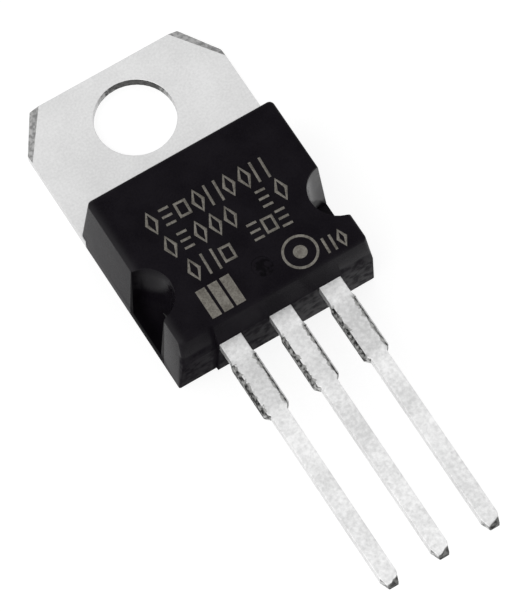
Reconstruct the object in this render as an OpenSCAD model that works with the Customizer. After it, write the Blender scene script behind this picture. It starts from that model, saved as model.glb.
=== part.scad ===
// Three-lead voltage regulator in a flat plastic package with a bolt-down metal tab.
// The origin is the centre of the tab hole on the back face. X runs across the tab, Y towards
// the free end of the tab and Z out of the front face. Lengths are in millimetres.

/* [Tab] */
// Width of the tab
tab_w = 10.14; // [9.9:0.02:10.4]
// Thickness of the stamped sheet that makes the tab and all three leads
sheet_t = 0.54; // [0.48:0.02:0.6]
// Diameter of the mounting hole
hole_d = 3.8; // [3.7:0.05:3.9]
// Distance from the hole's centre to the free end of the tab
tab_top = 2.83; // [2.65:0.02:2.95]
// Length of each corner cut along the free end
corner_cut_x = 1.19; // [0.9:0.05:1.4]
// Length of each corner cut along the side
corner_cut_y = 1.9; // [1.5:0.05:2.1]
// Width of the pressed bevel along each corner cut, at the free end
bevel_w = 0.4; // [0.2:0.02:0.5]
// Width of the pressed bevel at the side
bevel_side_w = 0.26; // [0.1:0.02:0.36]
// Depth of the pressed bevel at its outer edge
bevel_h = 0.16; // [0.08:0.02:0.24]
// Width of the die plate, which is the part of the sheet inside the moulding
plate_w = 7.8; // [7.6:0.1:8.2]
// Distance from the hole's centre to the step where the tab narrows to the die plate
plate_step = 4.15; // [4:0.05:4.6]
// Distance from the hole's centre to the end of the die plate inside the moulding
plate_end = 11.3; // [11:0.05:11.6]
// Cut on the two inner corners of the die plate
plate_corner = 0.3; // [0.1:0.05:0.6]
// Width of the bay that the centre lead rises from
bay_w = 3; // [2.4:0.1:3.4]
// Distance from the hole's centre to the bottom of the bay
bay_start = 9.4; // [9:0.1:9.8]
// Length of the step that keys the end of the plate in the moulding
key_l = 0.4; // [0.2:0.05:0.5]
// Height of that step above the back face
key_h = 0.2; // [0.1:0.02:0.28]
// Distance from the hole's centre to the resin groove across the plate
groove_y = 5; // [4.6:0.1:5.4]
// Width of the resin groove
groove_w = 0.24; // [0.16:0.02:0.4]
// Depth of the resin groove
groove_h = 0.1; // [0.06:0.02:0.16]

/* [Moulding] */
// Height of the front face above the back face
body_h = 4.43; // [4.3:0.01:4.6]
// How far each edge of the tab stands out of the moulding's side
lip_w = 0.02; // [0:0.01:0.1]
// How far each side of the moulding leans in from its back edge to its front edge
side_draft = 0.28; // [0.2:0.01:0.4]
// Distance from the hole's centre to the moulding, on the tab
body_start = 3.67; // [3.5:0.01:3.8]
// Distance from the hole's centre to the top of the tab-end wall, where the rounded edge starts
front_start = 4.16; // [4.05:0.01:4.4]
// Distance from the hole's centre to the top of the lead-end wall, where the rounded edge starts
front_end = 12.25; // [12.1:0.01:12.4]
// Distance from the hole's centre to the parting line on the lead end
parting_end = 12.5; // [12.4:0.01:12.6]
// Distance from the hole's centre to the back edge on the lead end
back_end = 12.25; // [12.1:0.01:12.35]
// Radius of the front face's edges
edge_r = 0.26; // [0.16:0.02:0.4]
// Radius of the upright corners at the tab end, at the back
tab_corner_r = 0.2; // [0.1:0.05:0.5]
// Radius of the upright corners at the lead end, at the back
lead_corner_r = 0.08; // [0.06:0.02:0.3]
// Width of the raised pad that the leads leave from
pad_w = 6.3; // [6.1:0.05:7]
// How far the pad stands out of the lead end
pad_out = 0.14; // [0.06:0.02:0.2]
// Distance below the front face at which the pad's slope starts
pad_drop = 0.44; // [0.42:0.02:0.6]
// Radius of the half-round notch in each side at the front face
notch_r = 1.39; // [1.3:0.01:1.44]
// Radius of the notch at its floor
notch_foot_r = 1.19; // [1.1:0.01:1.26]
// Distance from the hole's centre to the notches
notch_y = 9.45; // [9.3:0.05:9.6]
// Distance from each edge of the tab in to the centre of its notch
notch_in = 0.1; // [0:0.02:0.2]
// Diameter of the ejector pin's mark on the front face
ejector_d = 0.96; // [0.8:0.02:1.2]
// Depth of the ejector pin's mark
ejector_h = 0.05; // [0.02:0.01:0.1]
// Sideways place of the ejector pin's mark
ejector_x = 0.15; // [-0.3:0.05:0.3]
// Distance from the hole's centre to the ejector pin's mark
ejector_y = 10.92; // [10.6:0.02:11.1]

/* [Leads] */
// Distance between neighbouring leads
pitch = 2.54; // [2.5:0.01:2.58]
// Height of the leads' back faces above the back face of the tab
lead_z = 2.62; // [2.4:0.01:2.72]
// Width of each lead where it leaves the moulding
neck_w = 1.1; // [1:0.02:1.2]
// Width of each lead's broad stretch
shoulder_w = 1.27; // [1.22:0.01:1.4]
// Width of each lead's slim pin
pin_w = 0.81; // [0.7:0.01:0.88]
// Distance from the hole's centre to the start of the broad stretch
shoulder_start = 13.8; // [13.6:0.05:14]
// Distance from the hole's centre to the end of the broad stretch
shoulder_end = 16.45; // [16.2:0.05:16.7]
// Length over which a lead's width changes
taper_l = 0.25; // [0.1:0.05:0.4]
// Width of the step that the cut bar leaves along each side of the broad stretch
bar_cut_w = 0.13; // [0.08:0.01:0.16]
// Width of the flat ledge at the foot of that step
bar_ledge_w = 0.06; // [0.04:0.01:0.07]
// Depth of the step below the lead's front face
bar_cut_h = 0.1; // [0.05:0.01:0.2]
// Length from the free end of the tab to the tips of the leads
overall_l = 28.9; // [28:0.1:29.5]
// Length of the pointed end of each lead
tip_l = 0.5; // [0.3:0.05:0.7]
// Width of the blunt end of each lead
tip_w = 0.46; // [0.36:0.02:0.6]
// Thickness of the blunt end of each lead
tip_t = 0.3; // [0.2:0.02:0.4]
// Angle at which the centre lead rises from the die plate
bend_angle = 60; // [55:1:65]
// Radius of the centre lead's bends at the middle of the sheet
bend_r = 0.6; // [0.5:0.02:0.7]
// Width of the centre lead where it rises
riser_w = 1.4; // [1.2:0.05:1.6]

/* [Bond posts] */
// Width of the flat post at the inner end of each outer lead
post_w = 1.8; // [1.6:0.05:1.9]
// Length of each post
post_l = 1.5; // [1.3:0.05:1.6]
// Distance from the hole's centre to the posts' inner ends
post_start = 10.25; // [10.1:0.05:10.4]
// Sideways place of each post's middle
post_x = 2.4; // [2.3:0.02:2.5]
// Cut on the corners of each post
post_corner = 0.25; // [0.1:0.05:0.4]

/* [Die and bond wires] */
// Width of the silicon die
die_w = 2.2; // [1.8:0.05:2.6]
// Length of the silicon die
die_l = 2.4; // [2:0.05:2.8]
// Thickness of the silicon die
die_t = 0.28; // [0.2:0.02:0.36]
// Distance from the hole's centre to the die's middle
die_y = 7.4; // [7.2:0.05:7.6]
// Thickness of the solder under the die
solder_t = 0.05; // [0.03:0.01:0.08]
// Width of the solder's edge round the die
solder_edge = 0.15; // [0.05:0.05:0.3]
// Distance from the die's edge to the bond pads
pad_inset = 0.35; // [0.3:0.05:0.5]
// Diameter of the wires that carry the input, output and ground current
power_wire_d = 0.25; // [0.2:0.01:0.3]
// Diameter of the wire that senses the output
sense_wire_d = 0.12; // [0.1:0.01:0.18]
// Distance between the power wire and the sense wire
wire_gap = 0.6; // [0.5:0.05:0.7]
// Distance from the post's inner end to the wires' landing
landing_in = 0.7; // [0.5:0.05:0.9]
// Length of the ground wire's loop on the plate
ground_run = 1.5; // [1.2:0.1:1.8]

/* [Hidden] */
$fn = 64;
// Smooth arcs in an outline are drawn with this many straight steps
arc_steps = 6;
// Depth or width of a cut that has to pass right through
through = 40;
// Half the width of the moulding at its back and front edges
back_x = tab_w / 2 - lip_w;
front_x = back_x - side_draft;
// Slope of the tab-end wall, carried down to the back face under the tab
start_slope = (front_start - body_start) / (body_h - edge_r - sheet_t);
hidden_start = body_start - start_slope * sheet_t;
// Half the width at the parting line, on the same leaning side
parting_x = back_x - side_draft * lead_z / (body_h - edge_r);
// Heights of the leads' front faces, the die's top and the plate's front face
lead_top = lead_z + sheet_t;
die_bottom = sheet_t + solder_t;
die_top = die_bottom + die_t;
// Distance from the hole's centre to the tips of the leads
tip_y = overall_l - tab_top;
// The centre lead climbs from the middle of the plate to the middle of the lead plane
bend_rise = 2 * bend_r * (1 - cos(bend_angle));
riser_l = (lead_z - bend_rise) / sin(bend_angle);
// The broad riser ends where the upper bend ends
riser_end = bay_start + 2 * bend_r * sin(bend_angle) + riser_l * cos(bend_angle);
// Sideways places of the bond pads on the die
bond_x = die_w / 2 - pad_inset;
// Distance from the hole's centre to the ground bond's pad
ground_y = die_y - die_l / 2 + pad_inset;
// Height and diameter of a bond's flattened foot, as shares of its wire
foot_h = 0.3;
foot_d = 1.6;

// Middle line of the centre lead seen from the side, as [y, z, direction] from plate to tip
function riser_line() =
    let (
        z0 = sheet_t / 2,
        lower = [for (i = [0 : arc_steps])
            let (a = bend_angle * i / arc_steps)
            [-bay_start - bend_r * sin(a), z0 + bend_r * (1 - cos(a)), a]],
        foot = lower[arc_steps],
        head = [foot.x - riser_l * cos(bend_angle), foot.y + riser_l * sin(bend_angle)],
        upper = [for (i = [0 : arc_steps])
            let (a = bend_angle * (1 - i / arc_steps))
            [head.x - bend_r * (sin(bend_angle) - sin(a)),
             head.y + bend_r * (cos(a) - cos(bend_angle)), a]]
    )
    concat(lower, upper);

// A profile in Y and Z, drawn out along X
module across(width) {
    rotate([90, 0, 90]) linear_extrude(width, center = true) children();
}

// A profile in X and Z, drawn out along Y
module along(length) {
    rotate([90, 0, 0]) linear_extrude(length, center = true) children();
}

// A quarter-round cap with its flat side down, and a point-topped disc, which round the envelope's corners
module cap(r) {
    rotate_extrude($fn = 32)
        polygon([[0, 0], for (i = [0 : arc_steps]) r * [cos(90 * i / arc_steps), sin(90 * i / arc_steps)]]);
}

module disc(r) {
    cylinder(h = r, r1 = r, r2 = 0, $fn = 32);
}

// Envelope of the moulding: leaning walls, a parting line at the leads, rounded front edges and corners
module envelope() {
    hull() for (side = [-1, 1]) {
        for (y = [-front_start - edge_r, -front_end + edge_r])
            translate([side * (front_x - edge_r), y, body_h - edge_r]) cap(edge_r);
        translate([side * (back_x - tab_corner_r), -hidden_start - tab_corner_r, 0]) disc(tab_corner_r);
        translate([side * (back_x - lead_corner_r), -back_end + lead_corner_r, 0]) disc(lead_corner_r);
        translate([side * (parting_x - lead_corner_r), -parting_end + lead_corner_r, lead_z]) disc(lead_corner_r);
    }
}

// The raised pad round the leads, from inside the moulding to its sloped face
module lead_pad() {
    across(pad_w) polygon([
        [-plate_end, 0], [-back_end - pad_out, 0], [-parting_end - pad_out, lead_z],
        [-parting_end - pad_out, lead_top], [-front_end, body_h - pad_drop], [-plate_end, body_h - pad_drop]]);
}

// Half-round notches that widen towards the front, as the mould's cores have to draw out
module notches() {
    notch_h = body_h - sheet_t;
    for (side = [-1, 1])
        translate([side * (tab_w / 2 - notch_in), -notch_y, sheet_t])
            cylinder(h = 2 * notch_h, r1 = notch_foot_r, r2 = 2 * notch_r - notch_foot_r);
}

module ejector_mark() {
    translate([ejector_x, -ejector_y, body_h - ejector_h])
        cylinder(h = through, d = ejector_d);
}

// Solid envelope of the moulding, before room is made for what it holds
module moulding() {
    difference() {
        union() {
            envelope();
            lead_pad();
        }
        notches();
        ejector_mark();
    }
}

// Outline of one lead from its root to its tip, pointing towards -Y
module lead_outline(root) {
    half = [
        [neck_w / 2, -root],
        [neck_w / 2, -shoulder_start + taper_l],
        [shoulder_w / 2, -shoulder_start],
        [shoulder_w / 2, -shoulder_end],
        [pin_w / 2, -shoulder_end - taper_l],
        [pin_w / 2, -tip_y + tip_l],
        [tip_w / 2, -tip_y]];
    polygon(concat(half, [for (i = [len(half) - 1 : -1 : 0]) [-half[i].x, half[i].y]]));
}

// Side view of a lead's last stretch: the sheet's thickness, drawn down to the tip
function tip_profile(root) = [
    [-root, lead_top], [-root, lead_z], [-tip_y + tip_l, lead_z],
    [-tip_y, lead_z + (sheet_t - tip_t) / 2], [-tip_y, lead_top - (sheet_t - tip_t) / 2], [-tip_y + tip_l, lead_top]];

// The steps along both sides of the broad stretch, where the bar between the leads was cut away
module bar_cuts() {
    cut_l = shoulder_end + taper_l - shoulder_start;
    edge = shoulder_w / 2;
    for (side = [-1, 1])
        translate([0, -shoulder_start - cut_l / 2, lead_top]) along(cut_l)
            polygon([[side * (edge - bar_cut_w), 0], [side * (edge - bar_ledge_w), -bar_cut_h],
                     [side * 2 * edge, -bar_cut_h], [side * 2 * edge, bar_cut_h], [side * (edge - bar_cut_w), bar_cut_h]]);
}

// The flat lead, from its root to its tip
module flat_lead(root) {
    difference() {
        intersection() {
            linear_extrude(through) lead_outline(root);
            across(through) polygon(tip_profile(root));
        }
        bar_cuts();
    }
}

// One outer lead with its bond post, on the side given
module outer_lead(side) {
    post_end = post_start + post_l;
    translate([side * pitch, 0, 0]) flat_lead(post_end - post_corner);
    translate([side * post_x, 0, lead_z]) linear_extrude(sheet_t)
        polygon([
            [-post_w / 2 + post_corner, -post_start], [post_w / 2 - post_corner, -post_start],
            [post_w / 2, -post_start - post_corner], [post_w / 2, -post_end + post_corner],
            [post_w / 2 - post_corner, -post_end], [-post_w / 2 + post_corner, -post_end],
            [-post_w / 2, -post_end + post_corner], [-post_w / 2, -post_start - post_corner]]);
}

// Plan of the tab and die plate: cut corners, keyed inner end and the bay for the centre lead
module plate_outline() {
    x = tab_w / 2;
    half = [
        [x - corner_cut_x, tab_top], [x, tab_top - corner_cut_y], [x, -plate_step], [plate_w / 2, -plate_step],
        [plate_w / 2, -plate_end + plate_corner], [plate_w / 2 - plate_corner, -plate_end],
        [bay_w / 2, -plate_end], [bay_w / 2, -bay_start]];
    polygon(concat(half, [for (i = [len(half) - 1 : -1 : 0]) [-half[i].x, half[i].y]]));
}

// Wedge that presses the bevel along the right corner cut, narrower towards the side
module corner_bevel() {
    cut = atan2(corner_cut_y, corner_cut_x);
    narrowing = atan((bevel_w - bevel_side_w) / norm([corner_cut_x, corner_cut_y]));
    translate([tab_w / 2, tab_top - corner_cut_y, sheet_t])
        rotate([0, 0, narrowing - cut])
            rotate([90, 0, 90]) linear_extrude(through, center = true)
                polygon([[-bevel_side_w, 0], [bevel_w - bevel_side_w, -bevel_h], [2 * bevel_w, -bevel_h],
                         [2 * bevel_w, bevel_h], [-bevel_side_w, bevel_h]]);
}

// The flat tab and die plate with its hole, bevels, resin groove and keyed end
module plate() {
    difference() {
        linear_extrude(sheet_t) plate_outline();
        cylinder(h = through, d = hole_d, center = true);
        for (side = [0, 1]) mirror([side, 0, 0]) intersection() {
            corner_bevel();
            cube([through, through, through]);
        }
        translate([0, -groove_y, sheet_t]) across(through)
            polygon([[-groove_w / 2, 0], [0, -groove_h], [groove_w / 2, 0], [groove_w / 2, groove_h],
                     [-groove_w / 2, groove_h]]);
        translate([-through / 2, -plate_end, -key_h]) cube([through, key_l, 2 * key_h]);
    }
}

// The centre lead's double bend, drawn as a strip round its middle line
module riser() {
    line = riser_line();
    half = sheet_t / 2;
    upper = [for (p = line) [p.x + half * sin(p.z), p.y + half * cos(p.z)]];
    lower = [for (i = [len(line) - 1 : -1 : 0]) [line[i].x - half * sin(line[i].z), line[i].y - half * cos(line[i].z)]];
    across(riser_w) polygon(concat(upper, lower));
}

// A bond wire that leaves its pad upwards and bends over to its landing
module bond_wire(from, to, from_z, to_z, wire_d) {
    run = norm(to - from);
    rise = to_z - from_z;
    loop_r = (run * run + rise * rise) / (2 * run);
    landing = atan2(rise, run - loop_r);
    overrun = 20;
    translate([from.x, from.y, from_z]) rotate([0, 0, atan2(to.y - from.y, to.x - from.x)]) {
        difference() {
            translate([loop_r, 0, 0]) rotate([90, 0, 0])
                rotate_extrude(angle = 180 - landing + overrun, start = landing - overrun)
                    translate([loop_r, 0]) circle(d = wire_d);
            translate([(loop_r + run) / 2, -through / 2, rise - through]) cube([through, through, through]);
        }
        cylinder(h = foot_h * wire_d, d = foot_d * wire_d);
    }
}

module epoxy_body() {
    color([0.11, 0.105, 0.12]) difference() {
        moulding();
        tab_frame();
        input_lead();
        output_lead();
        silicon_die();
        die_solder();
        input_bond_wire();
        output_bond_wire();
        output_sense_bond_wire();
        ground_bond_wire();
    }
}

module tab_frame() {
    color([0.82, 0.82, 0.81]) union() {
        plate();
        riser();
        flat_lead(riser_end);
    }
}

module input_lead() {
    color([0.82, 0.82, 0.81]) outer_lead(-1);
}

module output_lead() {
    color([0.82, 0.82, 0.81]) outer_lead(1);
}

module silicon_die() {
    color([0.35, 0.37, 0.45])
        translate([-die_w / 2, -die_y - die_l / 2, die_bottom]) cube([die_w, die_l, die_t]);
}

module die_solder() {
    w = die_w + 2 * solder_edge;
    l = die_l + 2 * solder_edge;
    color([0.62, 0.62, 0.63])
        translate([-w / 2, -die_y - l / 2, sheet_t]) cube([w, l, solder_t]);
}

module input_bond_wire() {
    color([0.86, 0.86, 0.87])
        bond_wire([-bond_x, -die_y], [-post_x, -post_start - landing_in], die_top, lead_top, power_wire_d);
}

module output_bond_wire() {
    color([0.86, 0.86, 0.87])
        bond_wire([bond_x, -die_y], [post_x, -post_start - landing_in], die_top, lead_top, power_wire_d);
}

module output_sense_bond_wire() {
    color([0.86, 0.86, 0.87])
        bond_wire([bond_x, -die_y + wire_gap], [post_x + wire_gap, -post_start - landing_in], die_top, lead_top,
                  sense_wire_d);
}

module ground_bond_wire() {
    color([0.86, 0.86, 0.87])
        bond_wire([-bond_x, -ground_y], [-bond_x - ground_run, -ground_y], die_top, sheet_t, power_wire_d);
}

epoxy_body();
tab_frame();
input_lead();
output_lead();
silicon_die();
die_solder();
input_bond_wire();
output_bond_wire();
output_sense_bond_wire();
ground_bond_wire();
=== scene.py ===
import math

import bmesh
import bpy
from mathutils import Matrix, Vector
from mathutils.bvhtree import BVHTree


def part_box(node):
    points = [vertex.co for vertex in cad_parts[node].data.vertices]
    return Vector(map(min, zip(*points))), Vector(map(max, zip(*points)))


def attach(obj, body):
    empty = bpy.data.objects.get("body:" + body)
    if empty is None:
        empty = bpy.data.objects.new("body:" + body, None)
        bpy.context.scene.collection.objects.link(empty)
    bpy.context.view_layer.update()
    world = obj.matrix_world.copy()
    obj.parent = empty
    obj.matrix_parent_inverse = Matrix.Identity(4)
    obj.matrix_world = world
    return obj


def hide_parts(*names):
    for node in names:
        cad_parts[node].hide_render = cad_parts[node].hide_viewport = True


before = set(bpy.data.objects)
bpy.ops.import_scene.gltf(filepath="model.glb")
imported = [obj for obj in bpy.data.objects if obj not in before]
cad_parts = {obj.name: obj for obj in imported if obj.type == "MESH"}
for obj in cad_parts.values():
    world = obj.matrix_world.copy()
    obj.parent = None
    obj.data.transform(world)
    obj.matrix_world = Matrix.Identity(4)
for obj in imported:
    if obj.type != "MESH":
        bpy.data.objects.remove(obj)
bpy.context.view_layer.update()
mm = 0.001

# The camera: a long lens above the lead end and a little to the left of it.
# It looks at the middle of the part, turned a few degrees round its own axis.
look_at = Vector((-0.266, -11.610, 2.0)) * mm
camera_azimuth = math.radians(-27.36)
camera_elevation = math.radians(65.66)
camera_roll = math.radians(-4.40)
camera_distance = 213.98 * mm
focal_pixels = 4883.2
frame_height_pixels = 612
film_width = 36.0
away = Vector((
    math.sin(camera_azimuth) * math.cos(camera_elevation),
    -math.cos(camera_azimuth) * math.cos(camera_elevation),
    math.sin(camera_elevation),
))
level = Vector((math.cos(camera_azimuth), math.sin(camera_azimuth), 0.0))
upright = away.cross(level)
side_axis = math.cos(camera_roll) * level + math.sin(camera_roll) * upright
up_axis = math.cos(camera_roll) * upright - math.sin(camera_roll) * level
lens = bpy.data.cameras.new("photo_camera")
lens.sensor_fit = "AUTO"
lens.sensor_width = film_width
lens.lens = focal_pixels * film_width / frame_height_pixels
lens.clip_start = 1 * mm
lens.clip_end = 10.0
camera = bpy.data.objects.new("photo_camera", lens)
turn = Matrix((side_axis, up_axis, away)).transposed().to_4x4()
camera.matrix_world = Matrix.Translation(look_at + away * camera_distance) @ turn
bpy.context.scene.collection.objects.link(camera)
bpy.context.scene.camera = camera
bpy.context.scene.view_settings.view_transform = "Standard"

# The stamped frame: one strip of copper sheet, punched to the tab, the die plate and the centre lead.
# It is plated with matt tin. The two corner cuts, the hole and the sides of the lead's broad
# stretch are cut after plating, so they are dull and dark. The hole's wall has painted shade on the
# side that faces the camera, and the plate has painted shade where the moulding covers it.
edge_break = 0.03 * mm
lead_pitch = 2.54 * mm
shoulder_near = -13.5 * mm
shoulder_far = -16.75 * mm
tab_low, tab_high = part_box("tab_frame")
lead_low, lead_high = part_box("input_lead")
moulding_edge = -4.2 * mm


def clean_copy(node, name):
    """A copy of a CAD node's mesh with its triangles joined up to whole faces."""
    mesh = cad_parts[node].data.copy()
    mesh.name = name
    shape = bmesh.new()
    shape.from_mesh(mesh)
    bmesh.ops.remove_doubles(shape, verts=shape.verts, dist=0.0005 * mm)
    bmesh.ops.dissolve_limit(
        shape, angle_limit=math.radians(0.3), verts=shape.verts, edges=shape.edges
    )
    shape.to_mesh(mesh)
    shape.free()
    mesh.materials.clear()
    made = bpy.data.objects.new(name, mesh)
    bpy.context.scene.collection.objects.link(made)
    return made


def break_edges(piece, width):
    """Small rounds along every sharp edge, with the flat faces kept flat."""
    piece.data.shade_smooth()
    piece.data.set_sharp_from_angle(angle=math.radians(30))
    rounding = piece.modifiers.new("broken_edges", "BEVEL")
    rounding.limit_method = "ANGLE"
    rounding.angle_limit = math.radians(28)
    rounding.width = width
    rounding.segments = 2
    rounding.harden_normals = True


def mark_sheared(piece, is_sheared):
    """Stores how raw each face is: 0 where it is plated, about 1 where it was cut afterwards. On the
    hole's wall it also holds painted shade.
    """
    flags = piece.data.attributes.new("sheared", "FLOAT", "FACE")
    for face in piece.data.polygons:
        flags.data[face.index].value = is_sheared(face)


def mottle_group():
    """Shared effect: uneven tone in two sizes of patch, and a height for the bump."""
    group = bpy.data.node_groups.new("uneven_surface", "ShaderNodeTree")
    face = group.interface
    for label, default in (("Patch", 900.0), ("Grain", 9000.0), ("Patch Share", 0.5)):
        socket = face.new_socket(label, in_out="INPUT", socket_type="NodeSocketFloat")
        socket.default_value = default
    face.new_socket("Vector", in_out="INPUT", socket_type="NodeSocketVector")
    face.new_socket("Tone", in_out="OUTPUT", socket_type="NodeSocketFloat")
    face.new_socket("Height", in_out="OUTPUT", socket_type="NodeSocketFloat")
    nodes, link = group.nodes, group.links.new
    entry = nodes.new("NodeGroupInput")
    leave = nodes.new("NodeGroupOutput")
    patch = nodes.new("ShaderNodeTexNoise")
    patch.inputs["Detail"].default_value = 4.0
    grain = nodes.new("ShaderNodeTexNoise")
    grain.inputs["Detail"].default_value = 2.0
    blend = nodes.new("ShaderNodeMix")
    link(entry.outputs["Vector"], patch.inputs["Vector"])
    link(entry.outputs["Vector"], grain.inputs["Vector"])
    link(entry.outputs["Patch"], patch.inputs["Scale"])
    link(entry.outputs["Grain"], grain.inputs["Scale"])
    link(entry.outputs["Patch Share"], blend.inputs["Factor"])
    link(grain.outputs["Fac"], blend.inputs["A"])
    link(patch.outputs["Fac"], blend.inputs["B"])
    link(blend.outputs["Result"], leave.inputs["Tone"])
    link(grain.outputs["Fac"], leave.inputs["Height"])
    return group


uneven_surface = mottle_group()


def new_material(name, patch, grain, patch_share):
    """A material with its shader, object coordinates and the shared uneven surface."""
    material = bpy.data.materials.new(name)
    material.use_nodes = True
    nodes = material.node_tree.nodes
    place = nodes.new("ShaderNodeTexCoord")
    uneven = nodes.new("ShaderNodeGroup")
    uneven.node_tree = uneven_surface
    uneven.inputs["Patch"].default_value = patch
    uneven.inputs["Grain"].default_value = grain
    uneven.inputs["Patch Share"].default_value = patch_share
    material.node_tree.links.new(place.outputs["Object"], uneven.inputs["Vector"])
    return material, nodes["Principled BSDF"], uneven


def ramp(material, value, stops):
    """A colour ramp from a value, with stops given as (place, colour)."""
    node = material.node_tree.nodes.new("ShaderNodeValToRGB")
    material.node_tree.links.new(value, node.inputs["Fac"])
    first, last = node.color_ramp.elements
    first.position, first.color = stops[0][0], (*stops[0][1], 1.0)
    last.position, last.color = stops[-1][0], (*stops[-1][1], 1.0)
    for at, colour in stops[1:-1]:
        node.color_ramp.elements.new(at).color = (*colour, 1.0)
    return node.outputs["Color"]


def spread(material, value, low, high):
    """A number that runs from low to high over the uneven tone's usual range."""
    node = material.node_tree.nodes.new("ShaderNodeMapRange")
    node.inputs["From Min"].default_value = 0.3
    node.inputs["From Max"].default_value = 0.7
    node.inputs["To Min"].default_value = low
    node.inputs["To Max"].default_value = high
    material.node_tree.links.new(value, node.inputs["Value"])
    return node.outputs["Result"]


def relief(material, shader, height, depth, strength):
    """Bump of a real depth from a height between 0 and 1."""
    node = material.node_tree.nodes.new("ShaderNodeBump")
    node.inputs["Distance"].default_value = depth
    node.inputs["Strength"].default_value = strength
    material.node_tree.links.new(height, node.inputs["Height"])
    material.node_tree.links.new(node.outputs["Normal"], shader.inputs["Normal"])


def worked_out(material, operation, first, second):
    """One step of arithmetic on a value, with a number or another value."""
    node = material.node_tree.nodes.new("ShaderNodeMath")
    node.operation = operation
    material.node_tree.links.new(first, node.inputs[0])
    if isinstance(second, float):
        node.inputs[1].default_value = second
    else:
        material.node_tree.links.new(second, node.inputs[1])
    return node.outputs["Value"]


def slope(material, value, places, results):
    """A soft step from one result to the other between two places."""
    node = material.node_tree.nodes.new("ShaderNodeMapRange")
    node.interpolation_type = "SMOOTHSTEP"
    node.inputs["From Min"].default_value = places[0]
    node.inputs["From Max"].default_value = places[1]
    node.inputs["To Min"].default_value = results[0]
    node.inputs["To Max"].default_value = results[1]
    material.node_tree.links.new(value, node.inputs["Value"])
    return node.outputs["Result"]


def tin_plate(name, dull, bright, grain, raw_tones, speckled, wear_and_shade):
    """Matt tin over copper: pale and cloudy, darker and rougher where it was sheared.
    The function passed in gives two values by place: how worn the tin is, and how light it all is;
    on the tab the second is painted shade."""
    material, shader, uneven = new_material(name, 450.0, grain, 0.45)
    nodes, link = material.node_tree.nodes, material.node_tree.links.new
    plated = ramp(material, uneven.outputs["Tone"], [(0.35, dull), (0.65, bright)])
    flag = nodes.new("ShaderNodeAttribute")
    flag.attribute_name = "sheared"
    torn = nodes.new("ShaderNodeTexNoise")
    torn.inputs["Scale"].default_value = 5200.0
    torn.inputs["Detail"].default_value = 5.0
    place = nodes["Texture Coordinate"]
    link(place.outputs["Object"], torn.inputs["Vector"])
    raw = ramp(material, torn.outputs["Fac"], raw_tones)
    split = nodes.new("ShaderNodeSeparateXYZ")
    link(place.outputs["Object"], split.inputs["Vector"])
    worn, shade = wear_and_shade(material, split, torn.outputs["Fac"])
    speckle = slope(material, torn.outputs["Fac"], (0.38, 0.62), (1.0 + speckled, 1.0 - speckled))
    bare = worked_out(material, "MULTIPLY", flag.outputs["Fac"], speckle)
    bare = worked_out(material, "MINIMUM", worked_out(material, "MAXIMUM", bare, worn), 1.0)
    base = nodes.new("ShaderNodeMix")
    base.data_type = "RGBA"
    link(bare, base.inputs["Factor"])
    link(plated, base.inputs["A"])
    link(raw, base.inputs["B"])
    toned = nodes.new("ShaderNodeVectorMath")
    toned.operation = "SCALE"
    link(base.outputs["Result"], toned.inputs[0])
    link(shade, toned.inputs["Scale"])
    link(toned.outputs["Vector"], shader.inputs["Base Color"])
    rough = nodes.new("ShaderNodeMix")
    link(bare, rough.inputs["Factor"])
    link(spread(material, uneven.outputs["Tone"], 0.36, 0.48), rough.inputs["A"])
    rough.inputs["B"].default_value = 0.7
    link(rough.outputs["Result"], shader.inputs["Roughness"])
    shader.inputs["Metallic"].default_value = 0.85
    relief(material, shader, uneven.outputs["Height"], 0.004 * mm, 0.5)
    return material


def tab_painted_shade(material, split, torn):
    """Painted shade: the plate is made dark where the moulding covers it, which shows in the notches.
    Nothing is worn.
    """
    worn = material.node_tree.nodes.new("ShaderNodeValue").outputs["Value"]
    worn.default_value = 0.0
    shade = slope(
        material, split.outputs["Y"], (moulding_edge - 0.4 * mm, moulding_edge), (0.1, 1.0)
    )
    return worn, shade


def lead_tarnish(material, split, torn):
    """The cut bar left a ragged dark line on both sides of the broad stretch, broader at the left.
    The stretch is duller than the pin, and the tip is dark, with more of it at the right."""

    def step(operation, first, second):
        return worked_out(material, operation, first, second)

    def eased(value, start, end, results):
        return slope(material, value, (start, end), results)

    # Across each lead: 0 halfway to its left neighbour and one pitch halfway to the right one
    across = step("ADD", split.outputs["X"], lead_pitch / 2)
    across = step("FLOORED_MODULO", across, lead_pitch)
    before = eased(split.outputs["Y"], shoulder_near - 0.4 * mm, shoulder_near, (1.0, 0.0))
    beyond = eased(split.outputs["Y"], shoulder_far + 0.05 * mm, shoulder_far + 0.45 * mm, (0.0, 1.0))
    left_edge = step("SUBTRACT", across, step("MULTIPLY", torn, 0.7 * mm))
    left_line = eased(left_edge, 0.41 * mm, 0.46 * mm, (0.9, 0.0))
    right_edge = step("ADD", across, step("MULTIPLY", torn, 0.4 * mm))
    right_line = eased(right_edge, 1.86 * mm, 1.93 * mm, (0.0, 0.85))
    right_line = step("MULTIPLY", right_line, eased(across, 1.84 * mm, 1.86 * mm, (1.0, 0.0)))
    line = step("MAXIMUM", left_line, right_line)
    line = step("MULTIPLY", line, step("MULTIPLY", before, beyond))
    shade = step("ADD", eased(before, 0.0, 1.0, (1.0, 0.87)), eased(beyond, 0.0, 1.0, (0.12, 0.0)))
    # The dark tip's ragged edge slants, so it reaches farther up the pin at the right
    tip_dark, tip_clean = -26.49 * mm, -26.40 * mm
    tip_edge = step("ADD", split.outputs["Y"], step("MULTIPLY", across, -0.35))
    tip_edge = step("SUBTRACT", tip_edge, step("MULTIPLY", torn, 0.2 * mm))
    tip = eased(tip_edge, tip_dark, tip_clean, (0.95, 0.0))
    shade = step("MULTIPLY", shade, eased(tip_edge, tip_dark, tip_clean, (0.45, 1.0)))
    return step("MAXIMUM", line, tip), shade


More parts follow.
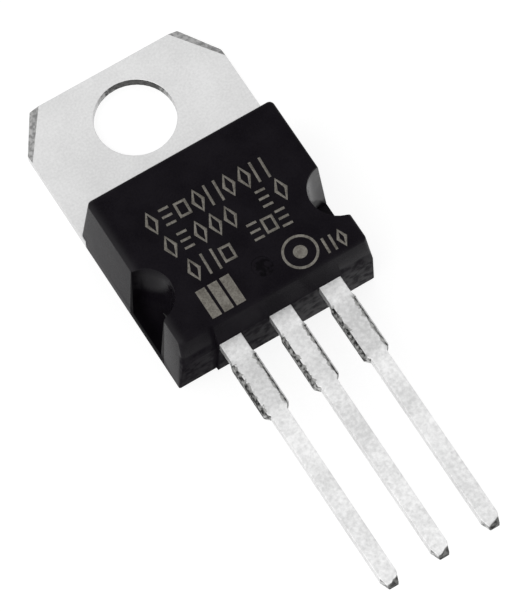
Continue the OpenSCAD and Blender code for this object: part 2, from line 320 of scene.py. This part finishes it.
tab_raw = [(0.3, (0.05, 0.05, 0.05)), (0.7, (0.17, 0.17, 0.165))]
lead_raw = [(0.4, (0.03, 0.03, 0.03)), (0.62, (0.42, 0.42, 0.41))]
tab_plating = tin_plate(
    "matt_tin_tab", (0.66, 0.66, 0.66), (0.77, 0.77, 0.77), 9000.0, tab_raw, 0.22, tab_painted_shade
)
lead_plating = tin_plate(
    "matt_tin_leads", (0.64, 0.64, 0.64), (0.90, 0.90, 0.90), 6500.0, lead_raw, 0.4, lead_tarnish
)


def lead_sheared(face):
    """The sides of a lead's broad stretch, where the bar between the leads was cut away, and its tip."""
    at_tip = face.normal.y < -0.3 and face.center.y < lead_low.y + 0.8 * mm
    if at_tip:
        if face.normal.y < -0.9:
            return 1.2
        return 1.1 if face.normal.x > 0.3 else 0.5
    side = abs(face.normal.x) > 0.5 or (abs(face.normal.y) > 0.5 and abs(face.normal.z) < 0.3)
    ledge = face.normal.z > 0.9 and face.center.z < lead_high.z - 0.02 * mm
    along = shoulder_far < face.center.y < shoulder_near
    across = (face.center.x + lead_pitch / 2) % lead_pitch
    if ledge and across > lead_pitch / 2:
        return 0.15 * float(along)
    return float(along and (side or ledge))


# The punch left the hole's wall a little raw all round; painted shade makes it darker the more it faces
# the camera
painted_shade_facing = Vector((-0.46, -0.89, 0.0))


def tab_sheared_and_painted_shade(face):
    """The corner cuts with their pressed bevels, the hole's wall with its painted shade, and the lead's
    broad stretch.
    """
    diagonal = 0.3 < abs(face.normal.x) and 0.2 < face.normal.y
    tilted = face.normal.z < 0.99 and face.normal.y > 0.05 and abs(face.normal.x) > 0.05
    at_corner = face.center.y > tab_high.y - 2.2 * mm and abs(face.center.x) > 3.5 * mm
    at_hole = abs(face.normal.z) < 0.5 and face.center.length < 2.2 * mm
    if at_corner and (diagonal or tilted):
        return 0.6
    if at_hole:
        # Painted shade on the side of the hole's wall that faces the camera
        return 0.1 + 1.6 * max(0.0, face.normal.dot(painted_shade_facing)) ** 3
    return lead_sheared(face)


tab_frame = clean_copy("tab_frame", "plated_tab_frame")
mark_sheared(tab_frame, tab_sheared_and_painted_shade)
tab_frame.data.materials.append(tab_plating)
tab_frame.data.materials.append(lead_plating)
for face in tab_frame.data.polygons:
    face.material_index = int(face.center.z > lead_low.z - 0.01 * mm)
break_edges(tab_frame, edge_break)
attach(tab_frame, "root")
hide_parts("tab_frame")

# The input and output leads: two pieces of the same sheet, one on each side of the centre lead.
# Each has a flat bond post inside the moulding, which holds it, and the same plating.
for node in ("input_lead", "output_lead"):
    lead = clean_copy(node, "plated_" + node)
    mark_sheared(lead, lead_sheared)
    lead.data.materials.append(lead_plating)
    break_edges(lead, edge_break)
    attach(lead, "root")
    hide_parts(node)

# The die and what joins it up, sealed in the moulding: a sawn piece of silicon, the soft solder that
# holds it on the plate, and four drawn aluminium wires welded from its pads to the posts and the plate.
silicon, shader, uneven = new_material("polished_silicon", 1200.0, 16000.0, 0.8)
tint = ramp(silicon, uneven.outputs["Tone"], [(0.3, (0.10, 0.11, 0.16)), (0.7, (0.20, 0.20, 0.27))])
silicon.node_tree.links.new(tint, shader.inputs["Base Color"])
shader.inputs["Metallic"].default_value = 0.6
shader.inputs["Roughness"].default_value = 0.2

solder, shader, uneven = new_material("soft_solder", 3000.0, 20000.0, 0.7)
tint = ramp(solder, uneven.outputs["Tone"], [(0.3, (0.48, 0.48, 0.50)), (0.7, (0.64, 0.64, 0.64))])
solder.node_tree.links.new(tint, shader.inputs["Base Color"])
shader.inputs["Metallic"].default_value = 1.0
shader.inputs["Roughness"].default_value = 0.4
relief(solder, shader, uneven.outputs["Height"], 0.006 * mm, 0.6)

wire, shader, uneven = new_material("drawn_aluminium", 4000.0, 30000.0, 0.4)
tint = ramp(wire, uneven.outputs["Tone"], [(0.3, (0.78, 0.78, 0.79)), (0.7, (0.88, 0.88, 0.89))])
wire.node_tree.links.new(tint, shader.inputs["Base Color"])
shader.inputs["Metallic"].default_value = 1.0
shader.inputs["Roughness"].default_value = 0.3

sealed = {
    "silicon_die": silicon,
    "die_solder": solder,
    "input_bond_wire": wire,
    "output_bond_wire": wire,
    "output_sense_bond_wire": wire,
    "ground_bond_wire": wire,
}
for node, material in sealed.items():
    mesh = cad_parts[node].data
    mesh.materials.clear()
    mesh.materials.append(material)

# The moulding: black epoxy compound, pressed hot round the frame in a two-part mould.
# Its walls lean for release, the mould's spark-eroded skin gives it a fine grain, and its
# outer edges are slightly round where the compound rubbed on the mould.
corner_round = 0.07 * mm
touch = 0.002 * mm
sharp = math.radians(20)


def outer_edges(shape, held):
    """Sharp edges between two faces that don't lie against anything held in the moulding."""
    trees = []
    for piece in held:
        corners = [vertex.co for vertex in piece.data.vertices]
        faces = [face.vertices for face in piece.data.polygons]
        trees.append(BVHTree.FromPolygons(corners, faces))

    def is_open(face):
        probe = face.calc_center_median_weighted()
        return all(tree.find_nearest(probe, touch)[0] is None for tree in trees)

    open_faces = {face for face in shape.faces if is_open(face)}
    return [
        edge for edge in shape.edges
        if len(edge.link_faces) == 2
        and all(face in open_faces for face in edge.link_faces)
        and edge.calc_face_angle() > sharp
    ]


moulding = clean_copy("epoxy_body", "moulded_body")
held = [node for name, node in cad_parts.items() if name != "epoxy_body"]
shape = bmesh.new()
shape.from_mesh(moulding.data)
bmesh.ops.bevel(
    shape, geom=outer_edges(shape, held), offset=corner_round, offset_type="OFFSET",
    segments=3, profile=0.5, affect="EDGES", clamp_overlap=True,
)
shape.to_mesh(moulding.data)
shape.free()
moulding.data.shade_smooth()
moulding.data.set_sharp_from_angle(angle=math.radians(32))

compound, shader, uneven = new_material("black_moulding_compound", 700.0, 22000.0, 0.55)
nodes, link = compound.node_tree.nodes, compound.node_tree.links.new
place = nodes["Texture Coordinate"].outputs["Object"]
split = nodes.new("ShaderNodeSeparateXYZ")
link(place, split.inputs["Vector"])
along_x, along_y, along_z = (split.outputs[axis] for axis in "XYZ")
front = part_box("epoxy_body")[1].z


def rising(value, start, end):
    """A mask that goes from 0 to 1 between two places."""
    return slope(compound, value, (start, end), (0.0, 1.0))


def falling(value, start, end):
    """A mask that goes from 1 to 0 between two places."""
    return slope(compound, value, (start, end), (1.0, 0.0))


def masked(first, second, mask):
    """The first number or value, and the second where the mask is 1."""
    node = nodes.new("ShaderNodeMix")
    link(mask, node.inputs["Factor"])
    for name, source in (("A", first), ("B", second)):
        if isinstance(source, float):
            node.inputs[name].default_value = source
        else:
            link(source, node.inputs[name])
    return node.outputs["Result"]


def both(first, second):
    """Where two masks meet."""
    return worked_out(compound, "MULTIPLY", first, second)


def distance(sideways, centre):
    """How far a place is from an upright axis."""
    off_x = worked_out(compound, "SUBTRACT", sideways, centre.x)
    off_y = worked_out(compound, "SUBTRACT", along_y, centre.y)
    squared = worked_out(compound, "ADD", both(off_x, off_x), both(off_y, off_y))
    return worked_out(compound, "SQRT", squared, 0.0)


def fine_noise(scale, detail):
    """Noise in the part's own place."""
    node = nodes.new("ShaderNodeTexNoise")
    node.inputs["Scale"].default_value = scale
    node.inputs["Detail"].default_value = detail
    link(place, node.inputs["Vector"])
    return node.outputs["Fac"]


# The notches: the mould's pins that made them were polished
notch_axis = Vector((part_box("epoxy_body")[1].x + 0.02 * mm, -9.45 * mm))
notch_radius = 1.44 * mm
to_notch = distance(worked_out(compound, "ABSOLUTE", along_x, 0.0), notch_axis)
polished = both(
    falling(to_notch, notch_radius, notch_radius + 0.04 * mm),
    falling(along_z, front - 0.2 * mm, front - 0.1 * mm),
)
# Painted reflection: the tab side of the right notch's wall is made pale
painted_notch_reflection = both(rising(along_x, 0.0, 1.0 * mm), rising(along_y, -9.75 * mm, -9.5 * mm))
painted_notch_reflection = both(painted_notch_reflection, rising(along_z, 0.8 * mm, 1.4 * mm))
painted_notch_reflection = both(painted_notch_reflection, polished)
# Painted shade: the mouth of the left notch is made black, with almost no sheen
painted_notch_shade = both(polished, falling(along_x, -4.75 * mm, -4.1 * mm))
# The lead end is rough below the parting line, where the flash was cleaned off, and its lower sheen
# there is painted shade under the leads
parting = lead_low.z + 0.28 * mm
at_end = falling(along_y, -12.28 * mm, -12.05 * mm)
rough_and_painted_shade_below_parting = both(at_end, falling(along_z, parting + 0.2 * mm, parting + 0.42 * mm))
# Painted shade: a dark strip with almost no sheen runs down the left side of the pad
painted_pad_shade = both(rising(along_x, -3.42 * mm, -3.26 * mm), falling(along_x, -3.14 * mm, -3.08 * mm))
painted_pad_shade = both(painted_pad_shade, at_end)
# The ejector pin left a dark, uneven dimple
pin_axis = Vector((0.2, -11.02)) * mm
pin_radius = 0.40 * mm
to_pin = distance(along_x, pin_axis)
dimpled = both(
    falling(to_pin, pin_radius, pin_radius + 0.07 * mm),
    rising(fine_noise(3400.0, 2.0), 0.44, 0.54),
)
# Painted highlight: the front is made a little lighter towards its left edge
painted_edge_highlight = worked_out(compound, "POWER", falling(along_x, -4.95 * mm, -4.2 * mm), 1.6)
painted_edge_highlight = both(painted_edge_highlight, rising(along_z, front - 0.3 * mm, front - 0.05 * mm))

black, grey = (0.0042, 0.0032, 0.0050), (0.0124, 0.0108, 0.0138)
tint = ramp(compound, uneven.outputs["Tone"], [(0.3, black), (0.7, grey)])
# Painted highlight at the front's left edge and painted reflection in the right notch, added to the
# colour
added = worked_out(compound, "ADD", masked(0.0, 0.026, painted_edge_highlight), masked(0.0, 0.17, painted_notch_reflection))
lighter = nodes.new("ShaderNodeVectorMath")
lighter.operation = "ADD"
link(tint, lighter.inputs[0])
link(added, lighter.inputs[1])
darker = nodes.new("ShaderNodeVectorMath")
darker.operation = "SCALE"
link(lighter.outputs["Vector"], darker.inputs[0])
# Darker at the ejector dimple, and as painted shade at the mouth of the left notch
link(masked(masked(1.0, 0.4, dimpled), 0.4, painted_notch_shade), darker.inputs["Scale"])
link(darker.outputs["Vector"], shader.inputs["Base Color"])

skin = spread(compound, uneven.outputs["Tone"], 0.24, 0.32)
skin = worked_out(compound, "ADD", skin, masked(0.0, 0.2, rough_and_painted_shade_below_parting))
skin = worked_out(compound, "SUBTRACT", skin, masked(0.0, 0.16, polished))
link(skin, shader.inputs["Roughness"])

# Painted reflection: the lead end's sheen grows from left to right, and below the parting line it is
# lower and in smears
end_left, end_right = -3.0 * mm, 4.5 * mm
painted_end_sheen = slope(compound, along_x, (end_left, end_right), (0.036, 0.084))
painted_low_sheen = both(
    slope(compound, fine_noise(2600.0, 3.0), (0.35, 0.65), (0.25, 1.75)),
    slope(compound, along_x, (end_left, end_right), (0.009, 0.046)),
)
sheen = masked(masked(0.022, painted_end_sheen, at_end), painted_low_sheen, rough_and_painted_shade_below_parting)
# Painted shade: almost no sheen along the pad's strip and in the left notch's mouth
sheen = masked(masked(sheen, 0.002, painted_pad_shade), 0.002, painted_notch_shade)
link(sheen, shader.inputs["Specular IOR Level"])
relief(compound, shader, uneven.outputs["Height"], 0.006 * mm, 0.5)
moulding.data.materials.append(compound)
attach(moulding, "root")
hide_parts("epoxy_body")

# The marking on the front face: the laser bleaches the compound to a warm grey.
# Plain ticks, frames and dashes stand in rows, with a ring and three bars; they spell nothing.
ink_stroke = 0.12 * mm
ink_sunk = 0.004 * mm
ink_proud = 0.008 * mm
ink_thick = ink_sunk + ink_proud
ink_low = front - ink_sunk
ink_high = front + ink_proud


def mark_row_tree():
    """Geometry Nodes tree: simple shapes picked at random, spaced evenly along X."""
    tree = bpy.data.node_groups.new("mark_row", "GeometryNodeTree")
    face = tree.interface
    inputs = (
        ("Count", "NodeSocketInt"), ("Pitch", "NodeSocketFloat"), ("Width", "NodeSocketFloat"),
        ("Height", "NodeSocketFloat"), ("Stroke", "NodeSocketFloat"), ("Thickness", "NodeSocketFloat"),
        ("Seed", "NodeSocketInt"), ("Material", "NodeSocketMaterial"),
    )
    for label, kind in inputs:
        face.new_socket(label, in_out="INPUT", socket_type=kind)
    face.new_socket("Geometry", in_out="OUTPUT", socket_type="NodeSocketGeometry")
    nodes, link = tree.nodes, tree.links.new
    entry = nodes.new("NodeGroupInput")
    leave = nodes.new("NodeGroupOutput")

    def scaled(source, factor):
        node = nodes.new("ShaderNodeMath")
        node.operation = "MULTIPLY"
        node.inputs[1].default_value = factor
        link(source, node.inputs[0])
        return node.outputs["Value"]

    def point(x, y):
        node = nodes.new("ShaderNodeCombineXYZ")
        link(scaled(entry.outputs["Width"], x), node.inputs["X"])
        link(scaled(entry.outputs["Height"], y), node.inputs["Y"])
        return node.outputs["Vector"]

    def line(start, end):
        node = nodes.new("GeometryNodeCurvePrimitiveLine")
        link(point(*start), node.inputs["Start"])
        link(point(*end), node.inputs["End"])
        return node.outputs["Curve"]

    def frame_shape():
        node = nodes.new("GeometryNodeCurvePrimitiveQuadrilateral")
        link(entry.outputs["Width"], node.inputs["Width"])
        link(scaled(entry.outputs["Height"], 0.62), node.inputs["Height"])
        return node.outputs["Curve"]

    def diamond():
        node = nodes.new("GeometryNodeCurvePrimitiveQuadrilateral")
        node.mode = "KITE"
        link(entry.outputs["Width"], node.inputs["Width"])
        link(scaled(entry.outputs["Height"], 0.5), node.inputs["Bottom Height"])
        link(scaled(entry.outputs["Height"], 0.5), node.inputs["Top Height"])
        return node.outputs["Curve"]

    def section(broader):
        """The stroke's section, broader where corners would pinch the stroke."""
        node = nodes.new("GeometryNodeCurvePrimitiveQuadrilateral")
        link(scaled(entry.outputs["Stroke"], broader), node.inputs["Width"])
        link(entry.outputs["Thickness"], node.inputs["Height"])
        return node.outputs["Curve"]

    shapes = (
        (1.0, [line((-0.5, -0.5), (-0.5, 0.5)), line((0.5, -0.5), (0.5, 0.5))]),
        (1.4, [frame_shape()]),
        (1.0, [line((-0.5, y), (0.5, y)) for y in (-0.36, 0.0, 0.36)]),
        (1.3, [diamond()]),
    )
    library = nodes.new("GeometryNodeJoinGeometry")
    for broader, strokes in reversed(shapes):
        joined = nodes.new("GeometryNodeJoinGeometry")
        for stroke in strokes:
            link(stroke, joined.inputs["Geometry"])
        solid = nodes.new("GeometryNodeCurveToMesh")
        solid.inputs["Fill Caps"].default_value = True
        link(joined.outputs["Geometry"], solid.inputs["Curve"])
        link(section(broader), solid.inputs["Profile Curve"])
        single = nodes.new("GeometryNodeGeometryToInstance")
        link(solid.outputs["Mesh"], single.inputs["Geometry"])
        link(single.outputs["Instances"], library.inputs["Geometry"])
    step = nodes.new("ShaderNodeCombineXYZ")
    link(entry.outputs["Pitch"], step.inputs["X"])
    places = nodes.new("GeometryNodeMeshLine")
    link(entry.outputs["Count"], places.inputs["Count"])
    link(step.outputs["Vector"], places.inputs["Offset"])
    pick = nodes.new("FunctionNodeRandomValue")
    pick.data_type = "INT"
    pick.inputs["Min"].default_value = 0
    next(s for s in pick.inputs if s.name == "Max" and s.type == "INT").default_value = len(shapes) - 1
    link(entry.outputs["Seed"], pick.inputs["Seed"])
    spots = nodes.new("GeometryNodeInstanceOnPoints")
    spots.inputs["Pick Instance"].default_value = True
    link(places.outputs["Mesh"], spots.inputs["Points"])
    link(library.outputs["Geometry"], spots.inputs["Instance"])
    link(next(s for s in pick.outputs if s.type == "INT"), spots.inputs["Instance Index"])
    real = nodes.new("GeometryNodeRealizeInstances")
    link(spots.outputs["Instances"], real.inputs["Geometry"])
    finish = nodes.new("GeometryNodeSetMaterial")
    link(real.outputs["Geometry"], finish.inputs["Geometry"])
    link(entry.outputs["Material"], finish.inputs["Material"])
    link(finish.outputs["Geometry"], leave.inputs["Geometry"])
    return tree


def run_tree(tree, values):
    """The tree's result as a plain mesh, with its inputs set by their identifiers."""
    holder = bpy.data.objects.new("holder", bpy.data.meshes.new("holder"))
    bpy.context.scene.collection.objects.link(holder)
    modifier = holder.modifiers.new("marks", "NODES")
    modifier.node_group = tree
    for item in tree.interface.items_tree:
        if item.in_out == "INPUT":
            modifier[item.identifier] = values[item.name]
    ready = holder.evaluated_get(bpy.context.evaluated_depsgraph_get())
    mesh = bpy.data.meshes.new_from_object(ready)
    bpy.data.objects.remove(holder)
    return mesh


def add_prism(shape, points, low, high):
    """A flat-topped block over an outline in X and Y."""
    lower = [shape.verts.new((x, y, low)) for x, y in points]
    upper = [shape.verts.new((x, y, high)) for x, y in points]
    shape.faces.new(upper)
    shape.faces.new(lower[::-1])
    for i in range(len(points)):
        j = (i + 1) % len(points)
        shape.faces.new((lower[i], lower[j], upper[j], upper[i]))


def add_ring(shape, centre, outer, inner, low, high, steps):
    """A flat ring round a centre."""
    rims = []
    for radius, z in ((outer, low), (outer, high), (inner, high), (inner, low)):
        turns = (2 * math.pi * i / steps for i in range(steps))
        rims.append([
            shape.verts.new((centre.x + radius * math.cos(t), centre.y + radius * math.sin(t), z))
            for t in turns
        ])
    for k in range(4):
        for i in range(steps):
            j = (i + 1) % steps
            shape.faces.new((rims[k][i], rims[k][j], rims[(k + 1) % 4][j], rims[(k + 1) % 4][i]))


ink, shader, uneven = new_material("laser_marked_compound", 2500.0, 15000.0, 0.5)
tint = ramp(ink, uneven.outputs["Tone"], [(0.36, (0.11, 0.101, 0.087)), (0.6, (0.23, 0.217, 0.192))])
ink.node_tree.links.new(tint, shader.inputs["Base Color"])
shader.inputs["Roughness"].default_value = 0.8
shader.inputs["Specular IOR Level"].default_value = 0.2

# Each row: X and Y of its first shape's middle, length, number of shapes, height, seed
mark_rows = (
    (-2.85, -6.62, 5.35, 8, 1.08, 3),
    (-2.72, -8.02, 2.95, 5, 1.08, 8),
    (1.95, -8.16, 0.85, 2, 1.08, 5),
    (-2.42, -9.50, 1.65, 3, 1.08, 1),
    (0.80, -9.34, 1.40, 3, 1.08, 12),
    (3.20, -11.58, 0.62, 2, 0.80, 6),
)
row_tilt = math.radians(-3.0)
width_to_height = 0.45
row_tree = mark_row_tree()
marking_shape = bmesh.new()
for x, y, length, count, height, seed in mark_rows:
    pitch = length / (count - 1)
    row = run_tree(row_tree, {
        "Count": count, "Pitch": pitch * mm,
        "Width": width_to_height * height * mm, "Height": height * mm,
        "Stroke": ink_stroke, "Thickness": ink_thick, "Seed": seed, "Material": ink,
    })
    base = Vector((x * mm, y * mm, front + (ink_proud - ink_sunk) / 2))
    row.transform(Matrix.Translation(base) @ Matrix.Rotation(row_tilt, 4, "Z"))
    marking_shape.from_mesh(row)
    bpy.data.meshes.remove(row)
ring_centre = Vector((1.93, -11.23)) * mm
ring_radius = 0.83 * mm
ring_hollow = ring_radius - ink_stroke
ring_steps = 64
add_ring(marking_shape, ring_centre, ring_radius, ring_hollow, ink_low, ink_high, ring_steps)
dot_radius = 0.32 * mm
dot_steps = 32
turns = [2 * math.pi * i / dot_steps for i in range(dot_steps)]
dot = [ring_centre + dot_radius * Vector((math.cos(t), math.sin(t))) for t in turns]
add_prism(marking_shape, [(p.x, p.y) for p in dot], ink_low, ink_high)
bar_width = 0.47 * mm
bar_height = 1.5 * mm
bar_pitch = 0.61 * mm
first_bar = Vector((-2.95, -11.95)) * mm
for i in range(3):
    x = first_bar.x + i * bar_pitch
    y = first_bar.y
    corners = ((x, y), (x + bar_width, y), (x + bar_width, y + bar_height), (x, y + bar_height))
    add_prism(marking_shape, corners, ink_low, ink_high)
bmesh.ops.recalc_face_normals(marking_shape, faces=marking_shape.faces)
marking = bpy.data.objects.new("front_marking", bpy.data.meshes.new("front_marking"))
marking_shape.to_mesh(marking.data)
marking_shape.free()
marking.data.materials.clear()
marking.data.materials.append(ink)
bpy.context.scene.collection.objects.link(marking)
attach(marking, "root")

# The studio: a white sheet of paper under the part, which keeps its soft shadow,
# a plain bright room and one broad lamp. To the camera and in reflections both are white.
paper_drop = 0.01 * mm
paper_half = 2.0
paper_mesh = bpy.data.meshes.new("paper")
paper_mesh.from_pydata(
    [(-paper_half, -paper_half, -paper_drop), (paper_half, -paper_half, -paper_drop),
     (paper_half, paper_half, -paper_drop), (-paper_half, paper_half, -paper_drop)],
    [], [(0, 1, 2, 3)],
)
paper = bpy.data.objects.new("paper", paper_mesh)
bpy.context.scene.collection.objects.link(paper)


def seen_directly(tree):
    """1 for the camera's rays and for glossy ones, 0 for the rest."""
    rays = tree.nodes.new("ShaderNodeLightPath")
    seen = tree.nodes.new("ShaderNodeMath")
    seen.operation = "MAXIMUM"
    tree.links.new(rays.outputs["Is Camera Ray"], seen.inputs[0])
    tree.links.new(rays.outputs["Is Glossy Ray"], seen.inputs[1])
    return seen.outputs["Value"]


paper_white = bpy.data.materials.new("white_paper")
paper_white.use_nodes = True
nodes, link = paper_white.node_tree.nodes, paper_white.node_tree.links.new
shader = nodes["Principled BSDF"]
shader.inputs["Roughness"].default_value = 0.95
shader.inputs["Specular IOR Level"].default_value = 0.0
seen = seen_directly(paper_white.node_tree)
shade = nodes.new("ShaderNodeMix")
shade.data_type = "RGBA"
shade.inputs["A"].default_value = (0.85, 0.85, 0.85, 1.0)
shade.inputs["B"].default_value = (0.3, 0.3, 0.3, 1.0)
link(seen, shade.inputs["Factor"])
link(shade.outputs["Result"], shader.inputs["Base Color"])
shader.inputs["Emission Color"].default_value = (1.0, 1.0, 1.0, 1.0)
glow = nodes.new("ShaderNodeMath")
glow.operation = "MULTIPLY"
glow.inputs[1].default_value = 0.82
link(seen, glow.inputs[0])
link(glow.outputs["Value"], shader.inputs["Emission Strength"])
paper.data.materials.append(paper_white)

room = bpy.data.worlds.new("plain_room")
room.use_nodes = True
bpy.context.scene.world = room
nodes, link = room.node_tree.nodes, room.node_tree.links.new
background = nodes["Background"]
background.inputs["Color"].default_value = (1.0, 1.0, 1.0, 1.0)
level_of_light = nodes.new("ShaderNodeMapRange")
level_of_light.inputs["To Min"].default_value = 0.6
level_of_light.inputs["To Max"].default_value = 1.0
link(seen_directly(room.node_tree), level_of_light.inputs["Value"])
link(level_of_light.outputs["Result"], background.inputs["Strength"])

lamp_data = bpy.data.lights.new("broad_lamp", "AREA")
lamp_data.size = 0.5
lamp_data.energy = 0.9
lamp = bpy.data.objects.new("broad_lamp", lamp_data)
lamp.location = look_at + Vector((-0.30, -0.12, 0.36))
lamp.rotation_mode = "QUATERNION"
lamp.rotation_quaternion = (lamp.location - look_at).to_track_quat("Z", "Y")
bpy.context.scene.collection.objects.link(lamp)
